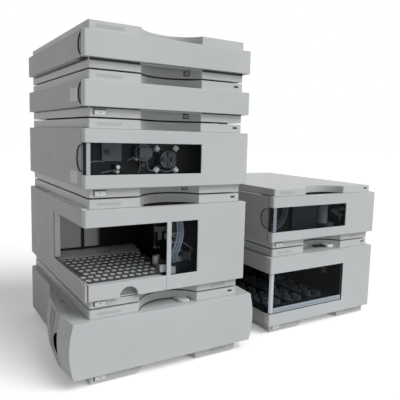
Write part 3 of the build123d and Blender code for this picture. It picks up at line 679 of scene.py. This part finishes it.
def placeSeams(coverUnits, back, width, coverLow, topDrop, sunk, out, beltSunk, corner, underBelt, beltLow, side,
        front, waveLeft, waveRight, rear):
    rows = []
    for unit in coverUnits:
        top = unitHeight[unit] - topDrop
        for low, high in ((-out, sunk), (unitWidth - sunk, unitWidth + out)):
            rows += slabs(unit, [(low, back, coverLow, high, back + width, top)])
    platePiece("cover_seams", rows, "darkPlastic", edge=0.05)
    # painted shadow: dark strips under the belts stand in for the shade beneath their overhang
    rows = []
    for unit, low in underBelt:
        rows += slabs(unit, [
            (side - sunk, front + corner, low, side + beltSunk, rear, beltLow),
            (unitWidth - side - beltSunk, front + corner, low, unitWidth - side + sunk, rear, beltLow),
            (side + corner, front - sunk, low, waveLeft, front + beltSunk, beltLow),
            (waveRight, front - sunk, low, unitWidth - side - corner, front + beltSunk, beltLow)])
    platePiece("belt_shadow_strips", rows, "darkPlastic", edge=0.05)


placeSeams(**seamLines)

# power buttons: dark strips of painted shade in the gap above and left of each, a painted shade line beyond it, and a
# small dot on its face
buttonParts = {"left": 22, "low": 3.5, "width": 21, "height": 8.5, "gap": 1.3, "slack": 0.15, "front": 11.8,
    "depth": 19, "line": 2.1, "lineFront": 11.12, "lineBack": 11.4, "face": 10.72,
    "dot": (1.1, 0.5, 0.25, 0.15, 14)}


def placeButtonParts(left, low, width, height, gap, slack, front, depth, line, lineFront, lineBack, face, dot):
    right, high, shadeLiners = left + width, low + height, []
    for unit in poweredUnits:
        # painted shade: dark strips in the gap above and left of the button, and a dark line beyond
        shadeLiners += slabs(unit, [(left - 0.1 - gap, front, low - 0.2, left - slack, depth, high + slack),
                (left - 0.1 - gap, front, high + slack, right + 0.2, depth, high + 0.1 + gap),
                (left - 0.2 - line, lineFront, low, left - gap, lineBack, high + line),
                (left - 0.2 - line, lineFront, high + gap, right + 0.2, lineBack, high + line)])
        collars(unit + "_button_dot", [spot(unit, (left + right) / 2, face, (low + high) / 2)],
            dot, "darkPlastic", unit + "_power_button")
    platePiece("button_shade_liners", shadeLiners, "darkPlastic", edge=0.1)


placeButtonParts(**buttonParts)

# leak drains: a dark pocket with a pale spout in it
drainParts = {"x": 217, "z": 9.5, "seat": 46, "half": 4.85, "near": 1.2, "far": 0.1, "spout": (3.2, 1.0, 9, 1, 20)}


def placeDrains(x, z, seat, half, near, far, spout):
    plates, spouts = [], []
    for unit in unitNames:
        if unit not in ("cooler", "collector"):
            plates += slabs(unit, [(x - half, seat - near, z - half, x + half, seat - far, z + half)])
            spouts.append(spot(unit, x, seat - near, z))
    platePiece("drain_pocket_floors", plates, "darkPlastic", edge=0.1)
    collars("drain_spouts", spouts, spout, "spoutPlastic")
    print("drains placed:", len(spouts))


placeDrains(**drainParts)

# bare plates where the maker would put a name or a rating
barePlates = {"thick": 0.25, "front": 11.3, "sunk": 0.05,
    "strips": [("solvent_cabinet", 26, 68, 50, 6.5), ("cooler", 272, 5, 40, 6.5),
        *[(unit, 26, unitHeight[unit] - 11.5, 46, 5.5) for unit in poweredUnits],
        *[(unit, 268, 5, 36, 6.5) for unit in ("sampler", "detector", "collector")]],
    "sides": [("degasser", 36, 27, 45, 23), ("pump", 38, 23, 45, 23)]}


def placeBarePlates(thick, front, sunk, strips, sides):
    rows = []
    for unit, x, z, wide, tall in strips:
        rows += slabs(unit, [(x, front - thick, z, x + wide, front + sunk, z + tall)])
    platePiece("name_plates", rows, "namePlateFinish", edge=0.1)
    rows = []
    for unit, y, z, wide, tall in sides:
        rows += slabs(unit, [(-thick, y, z, sunk, y + wide, z + tall)])
    platePiece("side_plates", rows, "sidePlateFinish", edge=0.1)


placeBarePlates(**barePlates)

# cooler: black plates of painted shade for the depth in the side grille's slots and in the finger notch, both following
# the swollen side
coolerSide = {"sections": ((0, 20, 8), (85, 26.4, 8), (180, 18, 5.6), (256, 0, 0.4)), "middle": 69.9, "half": 52.6,
    "centreBack": 113, "centreUp": 70, "pitchBack": 27, "pitchUp": 7.2, "columns": 2, "rows": 13,
    "tilt": 14, "halfLength": 10.9, "halfHeight": 1.45, "sunk": 0.3, "plate": 0.6,
    "notchBack": 65.27, "notchUp": 66, "notchOuter": 20.95, "notchInner": 20.2, "notchFloor": 12.6,
    "notchSunk": 0.8, "notchSteps": 20, "notchTurn": 86, "notchPlate": 12.1}


def sideReach(back, up):
    # how far the swollen side stands out at a place on it
    for first, second in zip(coolerSide["sections"], coolerSide["sections"][1:]):
        if back <= second[0]:
            share = (back - first[0]) / (second[0] - first[0])
            reach = first[1] + share * (second[1] - first[1])
            swell = first[2] + share * (second[2] - first[2])
            return reach + swell * (1 - ((up - coolerSide["middle"]) / coolerSide["half"]) ** 2)
    return 0


def sidePoint(right, back, up, sunk):
    reach = sideReach(back, up) - sunk
    return spot("cooler", unitWidth + reach if right else -reach, back, up)


def placeCoolerSides(settings):
    tilt = math.radians(settings["tilt"])
    long, tall = settings["halfLength"], settings["halfHeight"]
    corners = [(along * math.cos(tilt) - over * math.sin(tilt), along * math.sin(tilt) + over * math.cos(tilt))
        for along, over in ((-long, -tall), (long, -tall), (long, tall), (-long, tall))]
    steps, half = settings["notchSteps"], settings["notchTurn"]
    turns = [math.radians(-half + number * 2 * half / steps) for number in range(steps + 1)]
    outer, inner, plate = settings["notchOuter"], settings["notchInner"], settings["plate"]
    notchBack, notchUp = settings["notchBack"], settings["notchUp"]
    for right in (False, True):
        side = "right" if right else "left"
        slots = []
        for column in range(settings["columns"]):
            for row in range(settings["rows"]):
                back = settings["centreBack"] + (column - 0.5) * settings["pitchBack"]
                up = settings["centreUp"] + (row - (settings["rows"] - 1) / 2) * settings["pitchUp"]
                slots.append([sidePoint(right, back + there, up + over, settings["sunk"]) for there, over in corners])
        # painted shade: black plates for the shadowed depth of the slots
        prismPiece("cooler_slot_floors_" + side, slots, (-plate if right else plate, 0, 0), "deepBlack", edge=0.1)
        floorX = spot("cooler", unitWidth + settings["notchFloor"] if right else -settings["notchFloor"], 0, 0).x
        walls = [[sidePoint(right, notchBack + radius * math.cos(angle), notchUp + radius * math.sin(angle),
                    settings["notchSunk"])
                for radius, angle in ((outer, turn), (outer, after), (inner, after), (inner, turn))]
            for turn, after in zip(turns, turns[1:])]
        # painted shade: the notch's walls and floor in black
        prismPiece("cooler_notch_wall_" + side, walls, lambda point: Vector((floorX, point[1], point[2])),
            "deepBlack", edge=0.05)
        plateX = unitWidth + settings["notchPlate"] if right else -settings["notchPlate"] - plate
        arc = [spot("cooler", plateX, notchBack + outer * math.cos(turn), notchUp + outer * math.sin(turn))
            for turn in turns]
        prismPiece("cooler_notch_floor_" + side, [arc], (plate, 0, 0), "deepBlack", edge=0.1)


placeCoolerSides(coolerSide)

# cooler: the seam at the foot of the recess in its top, the leak spout in it and a screw behind
recessSeam = {"crest": (176, 53.3), "leftRadius": 76.05, "rightRadius": 63.86, "start": 109, "step": 4, "steps": 24,
    "gap": 0.02, "thick": 0.8, "low": 122.85, "high": 124.9}
coolerTop = {
    "leak_spout": dict(outlines=[((200, 49.5), (201, 24), (206, 17), (219, 14), (223, 17), (222, 34), (212, 43))],
        level=123, rise=5, finish="spoutPlastic", edge=0.8),
    "leak_spout_end": dict(outlines=[((222, 34), (223, 17), (226, 18), (226, 29.6))], level=123.1, rise=4.8),
    "cooler_top_screw": dict(at=[(-4, 135, 122.45)], sizes=(2.8, 0.9, 0.7, 0.3, 16), facing=upwards)}


def placeRecessSeam(crest, leftRadius, rightRadius, start, step, steps, gap, thick, low, high):
    crestX, crestY = crest

    def wall(depth):
        points = []
        for number in range(steps + 1):
            x = start + number * step
            radius = leftRadius if x <= crestX else rightRadius
            points.append((x, crestY - radius + math.sqrt((radius - depth) ** 2 - (x - crestX) ** 2)))
        return points

    outline = wall(gap) + wall(thick)[::-1]
    prismPiece("recess_seam", [[spot("cooler", x, y, low) for x, y in outline]],
        (0, 0, high - low), "darkPlastic", edge=0.05)


placeRecessSeam(**recessSeam)
fitOut("cooler", coolerTop)
print("outer details ready")

# pump: pale edge strip inside the window, grey damper cover, valve nuts and capillaries
pumpInside = {
    "pump_window_strip": dict(blocks=[(4.9, 2.55, 41.7, 12.0, 4.2, 97.8)], finish="edgeStrip", body="pump_front_cover"),
    "damper_cover": dict(blocks=[(47.4, 46.4, 63.4, 85.6, 47.35, 96.6)], finish="damperGrey"),
    "damper_screw_ring": dict(at=[(56.5, 46.45, 80.8)], sizes=(5.2, 0.9, 2.6, 0.4, 28), finish="footRubber"),
    "damper_screw_washer": dict(at=[(56.5, 46.45, 80.8)], sizes=(4.3, 2.0, 2.2, 1.6, 28), finish="damperGrey"),
    "damper_screw_dot": dict(at=[(56.5, 44.85, 80.8)], sizes=(1.2, 0.6, 0.7, 0.5, 12), finish="footRubber"),
    "head_clamp": dict(blocks=[(110, 37, 65.2, 136, 52.4, 69.8)], finish="turnedSteel"),
    "purge_knob_cap": dict(at=[(73.7, 33.0, 53)], sizes=(3.9, 1.4, 1.0, 0.5, 8), finish="whiteCap",
        body="purge_valve_knob"),
    "purge_outlet": dict(at=[(74.5, 52.4, 44.8)], sizes=(3.4, 1.2, 16, 14.5, 8), finish="whiteCap"),
    "pump_capillaries": dict(radius=0.45, finish="capillary", runs=[
        [(18, 40, 59), (24, 36, 62.8), (33, 36, 64.6), (44, 40, 63.5), (50, 46, 61)],
        [(118, 40, 66), (118, 34, 60), (118, 33, 52), (118, 36, 44), (116, 44, 41)],
        [(132, 40, 66), (133, 34, 60), (134, 34, 50), (138, 34, 45), (148, 36, 44), (156, 40, 47)],
        [(158, 38, 48), (163, 30, 45), (172, 28, 43.2), (182, 28, 45), (190, 34, 49), (194, 40, 52)],
        [(43.6, 38, 42.3), (50, 34, 44.2), (56.2, 34, 45.8), (66, 36, 46.5), (73, 42, 45.5)],
        [(94.3, 40, 64.1), (100, 36, 69), (108, 34, 72.5), (118, 34, 71), (133, 36, 70.1), (146, 40, 82),
         (154, 41, 88)]])}
valveParts = {"centre": (176, 67), "nutBack": 41.3, "nutReach": 24.5, "nut": (5.6, 1.75, 9.5, 1.2, 6),
    "ringBack": 30.35, "ringReach": 9.4, "ring": (4.2, 0.55, 1.2, 0.3, 20), "head": (3.5, 2.2, 1.0, 0.7, 20)}


def placeValveParts(centre, nutBack, nutReach, nut, ringBack, ringReach, ring, head):
    # four nuts on the pump head's corners and four screws on its face
    centreX, centreZ = centre
    reach = nutReach / math.sqrt(2)
    for number, (right, up) in enumerate(((1, 1), (1, -1), (-1, 1), (-1, -1))):
        start = spot("pump", centreX + right * reach, nutBack, centreZ + up * reach)
        collars("valve_nut_%d" % number, [start], nut, "whiteCap", facing=(right, 0, up))
    screws = [spot("pump", centreX + right * ringReach, ringBack,
            centreZ + up * ringReach) for right in (-1, 1) for up in (-1, 1)]
    collars("valve_screw_rings", screws, ring, "silverGrey")
    collars("valve_screw_heads", screws, head, "greyPlastic")


fitOut("pump", pumpInside)
placeValveParts(**valveParts)

# detector: pale edge strip, bent tubes, lamp can sleeve and fittings
tubeBends = {"centre": (35, 85), "radii": (37.7, 45.5, 52.0), "back": 50, "start": 12, "sweep": 102, "steps": 12}
cellFittings = [(246, 56.2, 70), (262, 56.2, 60), (270, 56.2, 76)]


def bentRuns(centre, radii, back, start, sweep, steps):
    centreX, centreZ = centre
    turns = [math.radians(start - step * sweep / steps) for step in range(steps + 1)]
    return [[(centreX + radius * math.cos(turn), back, centreZ + radius * math.sin(turn))
            for turn in turns] for radius in radii]


detectorInside = {
    "detector_back_liner": dict(blocks=[(2.8, 55.0, 18, 342, 56.4, 122)]),
    "detector_window_strip": dict(blocks=[(4.9, 2.55, 40.2, 13.5, 4.2, 97.8)], finish="edgeStrip",
        body="detector_front_cover"),
    "detector_tubes": dict(runs=bentRuns(**tubeBends), radius=1.7, finish="gripGrey"),
    "lamp_can_sleeve": dict(at=[(196, 42.3, 44)], sizes=(14.2, 1.1, 46, 2, 40), finish="canGrey", facing=upwards),
    "lamp_plug": dict(blocks=[(210, 38, 31, 236, 56.2, 42), (212, 34, 33, 220, 38, 40), (224, 34, 33, 232, 38, 40)],
        finish="canGrey"),
    "cell_fittings": dict(at=cellFittings, sizes=(6.2, 2.2, 12, 3, 6), finish="silverGrey"),
    "cell_fitting_tips": dict(at=cellFittings, sizes=(3.4, 1.2, 18, 17, 12), finish="capillary"),
    "cell_capillaries": dict(radius=0.7, finish="capillary", runs=[
        [(246, 39, 70), (246, 30, 70), (242, 26, 60), (246, 28, 48), (254, 34, 44), (262, 40, 60)],
        [(262, 39, 60), (262, 28, 60), (270, 24, 66), (274, 28, 84), (272, 40, 92), (262, 50, 96)]])}

fitOut("detector", detectorInside)
print("pump and detector insides ready")

# sampler: vial caps in the staggered sockets and the shelf behind them
vialTray = {"rows": 8, "columns": range(-4, 10), "firstX": 19, "firstY": 38, "pitchX": 14.2, "pitchY": 23,
    "stagger": 7.1, "lean": 55 / 265, "capFoot": 44.5, "cap": (5.3, 3.2, 1.3, 0.9, 16), "leftEdge": 15}


def placeVials(rows, columns, firstX, firstY, pitchX, pitchY, stagger, lean, capFoot, cap, leftEdge):
    places = []
    for row in range(rows):
        shift = stagger * (row % 2) + lean * pitchY * row
        for column in columns:
            x = firstX + column * pitchX + shift
            if x > leftEdge:
                places.append((x, firstY + row * pitchY, capFoot))
    # painted light: the caps are paler towards the back of the tray
    collars("vial_caps", spots("sampler", places), cap, "vialCapPaintedLight", facing=upwards)
    print("vials placed:", len(places))


placeVials(**vialTray)

# sampler: the drawer's trim, the transport and what shows in the small window
gripArc = {"centre": 84, "wide": 18.3, "tall": 18.2, "low": 17.4, "back": 11.95, "thick": 0.6, "steps": 24}
columnPlace = (211, 60)
samplerTrays = {
    "tray_shelf": dict(outlines=[((8.4, 212), (195.5, 212), (210.5, 284), (8.4, 284))], level=45.1, rise=1.6,
        finish="shelfGrey"),
    "tray_guide": dict(blocks=[(2.55, 17, 45, 5.0, 213.6, 51.0)]),
    "drawer_lip": dict(blocks=[(8.2, 3.02, 43.2, 158, 19.6, 44.8)], finish="lipGrey", body="sampler_drawer"),
    "drawer_seal": dict(blocks=[(5.64, -0.12, 17.6, 7.0, 1.5, 46.45)], finish="deepBlack", body="sampler_drawer",
        edge=0.1),
    "tray_edge_line": dict(outlines=[((2.6, 17.4), (5.0, 17.4), (6.6, 9), (7.0, 4), (7.0, 0.3), (5.5, 0.3),
            (5.3, 4), (4.6, 9))], level=46.62, rise=0.6, edge=0.05),
    "grip_edge": dict(blocks=[(66.4, 0.3, 17.4, 101.6, 1.5, 18.5)], body="sampler_drawer", edge=0.1)}
samplerInside = {
    "room_sill": dict(blocks=[(4.9, 17, 30, 7.8, 213.8, 46.3), (7.7, 17, 45.3, 10.5, 213.8, 46.3)], finish="lipGrey"),
    "transport_post": dict(at=[(186, 98, 30)], sizes=(10, 3, 32, 28, 28), finish="turnedSteel", facing=upwards),
    "transport_rail": dict(blocks=[(181, 97, 113, 240, 101, 124), (189, 97.4, 95, 197, 100.6, 113.1)],
        finish="canGrey"),
    # painted shadow: a dark line along the foot of the back wall and a dark streak up it
    "room_shadow_lines": dict(blocks=[(80.5, 288.6, 50, 88.5, 290.3, 139), (6, 288.2, 44.9, 239.8, 290.3, 50.6)]),
    "seat_block": dict(blocks=[(188.6, 37, 36, 200, 44.1, 50), (174, 57, 36, 188.3, 63, 51)], finish="whiteCap"),
    "column_bands": dict(at=[(*columnPlace, up) for up in (64, 78, 96, 114)], sizes=(13.4, 1.6, 5, 0.5, 36),
        finish="silverGrey", facing=upwards),
    "column_foot": dict(at=[(*columnPlace, 58)], sizes=(15.5, 4, 6, 0.5, 36), finish="silverGrey", facing=upwards),
    "sampling_block": dict(blocks=[(189, 45, 58, 203, 58, 66), (222, 48, 58, 238, 80, 76),
        (196, 74, 100, 226, 84, 112)], finish="canGrey"),
    "seat_tubes": dict(radius=2.2, finish="softBlue", runs=[
        [(196, 44, 58.5), (194, 36, 70), (197, 30, 90), (204, 28, 110), (206, 28, 130), (202, 30, 148)],
        [(200, 44, 58.5), (199, 34, 72), (203, 28, 92), (209, 26, 112), (210, 26, 132), (206, 28, 148)],
        [(190, 44, 58.5), (189, 38, 68), (191, 32, 88), (198, 30, 108), (201, 30, 128), (198, 32, 148)]]),
    "sampler_capillaries": dict(radius=0.7, finish="capillary", runs=[
        [(188, 34, 118), (198, 26, 110), (214, 24, 100), (228, 26, 90), (238, 34, 82)],
        [(236, 40, 58), (230, 30, 60), (226, 26, 68), (229, 30, 78), (236, 40, 84)]]),
    "gripper_fingers": dict(blocks=[(x, 134, 66.6, x + 2, 146, 72.2) for x in (200.2, 207.8)], finish="turnedSteel",
        body="sampler_gripper")}


def placeGripBack(centre, wide, tall, low, back, thick, steps):
    turns = [math.pi * number / steps for number in range(steps + 1)]
    outline = [(centre + wide * math.cos(turn), back, low + tall * math.sin(turn)) for turn in turns]
    prismPiece("grip_back", [spots("sampler", outline)], (0, -thick, 0), "gripGrey", "sampler_drawer", edge=0.1)


fitOut("sampler", samplerTrays)
placeGripBack(**gripArc)
fitOut("sampler", samplerInside)

# collector: frame inside the door and the ledge in the top recess
cornerStrip = {"centre": 14, "outer": 10.9, "inner": 9.7, "low": 47.6, "high": 143.4, "start": 208, "step": 6.2,
    "steps": 10}
doorParts = {
    "door_rail": dict(blocks=[(15, 3.05, 47.6, 237, 4.6, 59.5)], finish="railWhite"),
    "door_rail_line": dict(blocks=[(15, 2.98, 52.2, 233, 3.1, 53.0)], finish="damperGrey", edge=0.05),
    "door_jamb": dict(blocks=[(233.5, 3.05, 59.5, 237, 4.6, 143.4)])}
recessParts = {
    "recess_ledge": dict(outlines=[((109, 16.6), (235, 16.6), (230, 30), (220, 40), (205, 48), (188, 52), (176, 53),
            (160, 52), (142, 46), (128, 37), (118, 27))], level=183.2, rise=1.6, finish="recessGrey"),
    "ledge_spout": dict(outlines=[((203, 46), (200, 33), (206, 23), (222, 22), (226, 26), (216, 40))], level=184.7,
        rise=6, finish="whiteCap", edge=1.0),
    "ledge_clip": dict(outlines=[((176, 48), (172, 36), (180, 33), (190, 38), (190, 48)),
            ((192, 46), (193, 30), (201, 26), (203, 40))], level=184.7, rise=4.2, edge=0.4),
    "cover_side_plate": dict(blocks=[(-0.35, 4.6, 18.8, 0.1, 11.6, 45.8)], finish="spoutPlastic",
        body="collector_front_cover", edge=0.1),
    "cover_side_screws": dict(at=[(-0.3, 8, z) for z in (43, 21.5)], sizes=(1.6, 0.7, 0.3, 0.2, 14),
        body="collector_front_cover", facing=(-1, 0, 0))}


def placeCornerStrip(centre, outer, inner, low, high, start, step, steps):
    turns = [math.radians(start + number * step) for number in range(steps + 1)]
    outline = [(centre + radius * math.cos(turn), centre + radius * math.sin(turn), low)
        for radius, order in ((outer, 1), (inner, -1)) for turn in turns[::order]]
    prismPiece("door_corner_strip", [spots("collector", outline)], (0, 0, high - low),
        "doorFrame", "collector_door")


placeCornerStrip(**cornerStrip)
fitOut("collector", doorParts, "collector_door")

# collector: racks of tubes in the tray's lanes
tubeRacks = {"lanes": (51.17, 120.5, 189.83), "columnStep": 20, "rowStep": 17, "rows": 13, "firstRow": 37,
    "foot": 20.1, "tube": (6.4, 0.9, 37, 1.2, 14), "half": 31, "ends": ((28, 29.6), (256, 257.6)), "top": 54}


def placeTubeRacks(lanes, columnStep, rowStep, rows, firstRow, foot, tube, half, ends, top):
    places = [(lane + step * columnStep, firstRow + row * rowStep, foot)
        for lane in lanes for step in (-1, 0, 1) for row in range(rows) if (row + step) % 3 != 1]
    collars("fraction_tubes", spots("collector", places), tube, "tubeGlass", facing=upwards)
    plates = [(lane - half, near, foot, lane + half, far, top) for lane in lanes for near, far in ends]
    platePiece("rack_ends", slabs("collector", plates), "silverGrey")
    print("fraction tubes placed:", len(places))


placeTubeRacks(**tubeRacks)
fitOut("collector", recessParts)
print("sampler and collector insides ready")

# rear panels: socket inserts with pins, inlet blades, dark air slots and screws
rearParts = {"back": 443.8, "low": 17, "high": 17.2, "screwInset": 5, "screwX": (18, 172, 327),
    "screw": (3.1, 0.9, 1.7, 1.1, 20), "sockets": (245, 203, 161), "insertHalf": (11, 2.8),
    "insertDepth": 4.6, "insertSunk": 3.2, "pinWide": 2.7, "pinTall": 2.6, "pinRows": 2, "pinColumns": 8,
    "pin": (0.7, 0.3, 1.6, 1.5, 8), "postReach": 18.5, "post": (2.6, 1.1, 3.4, 1.0, 6), "inlet": 299,
    "inletHalf": (12.5, 8.5), "inletDepth": 13.9, "inletSunk": 13.1, "bladeDepth": 8.6, "blade": (2.2, 9.0, 5.0),
    "bladePlaces": ((-6.5, -1.5), (6.5, -1.5), (0, 3)), "vent": 83, "ventDepth": 4.7, "ventPitch": 9,
    "ventRows": 4, "ventFloor": (83.6, 0.5, 3.7)}


def facingBack(unit, x, z, half, near, far):
    # one flat block on the rear panel
    return slabs(unit, [(x - half[0], near, z - half[1], x + half[0], far, z + half[1])])


def placeRearParts(back, low, high, screwInset, screwX, screw, sockets, insertHalf, insertDepth, insertSunk,
        pinWide, pinTall, pinRows, pinColumns, pin, postReach, post, inlet, inletHalf, inletDepth, inletSunk,
        bladeDepth, blade, bladePlaces, vent, ventDepth, ventPitch, ventRows, ventFloor):
    inserts, pins, posts, blades, screws, vents, inletLiners = [], [], [], [], [], [], []
    for unit in unitNames:
        top = unitHeight[unit] - high
        middle = (low + top) / 2
        levels = (low + screwInset, top - screwInset)
        screws += [spot(unit, x, back, z) for x in screwX for z in levels]
        if unit not in poweredUnits:
            continue
        for x in sockets:
            inserts += facingBack(unit, x, middle, insertHalf, back - insertDepth, back - insertSunk)
            pins += [spot(unit, x + (column - (pinColumns - 1) / 2) * pinWide, back - insertSunk,
                    middle + (row - (pinRows - 1) / 2) * pinTall)
                for row in range(pinRows) for column in range(pinColumns)]
            posts += [spot(unit, x + side * postReach, back, middle) for side in (-1, 1)]
        inletLiners += facingBack(unit, inlet, middle, inletHalf, back - inletDepth, back - inletSunk)
        blades += [spot(unit, inlet + side, back - bladeDepth, middle + up) for side, up in bladePlaces]
        vents += [spot(unit, vent, back - ventDepth, middle + (row - (ventRows - 1) / 2) * ventPitch)
            for row in range(ventRows)]
    platePiece("socket_inserts", inserts, "darkPlastic", edge=0.1)
    collars("socket_pins", pins, pin, "turnedSteel", facing=backwards)
    collars("socket_posts", posts, post, "turnedSteel", facing=backwards)
    platePiece("inlet_floors", inletLiners, "darkPlastic", edge=0.1)
    spreadBlocks("inlet_blades", blades, blade, "turnedSteel")
    spreadBlocks("vent_floors", vents, ventFloor, "deepBlack")
    collars("rear_screws", screws, screw, "turnedSteel", facing=backwards)
    print("rear details:", len(pins), "pins,", len(screws), "screws")


placeRearParts(**rearParts)
print("small parts ready")
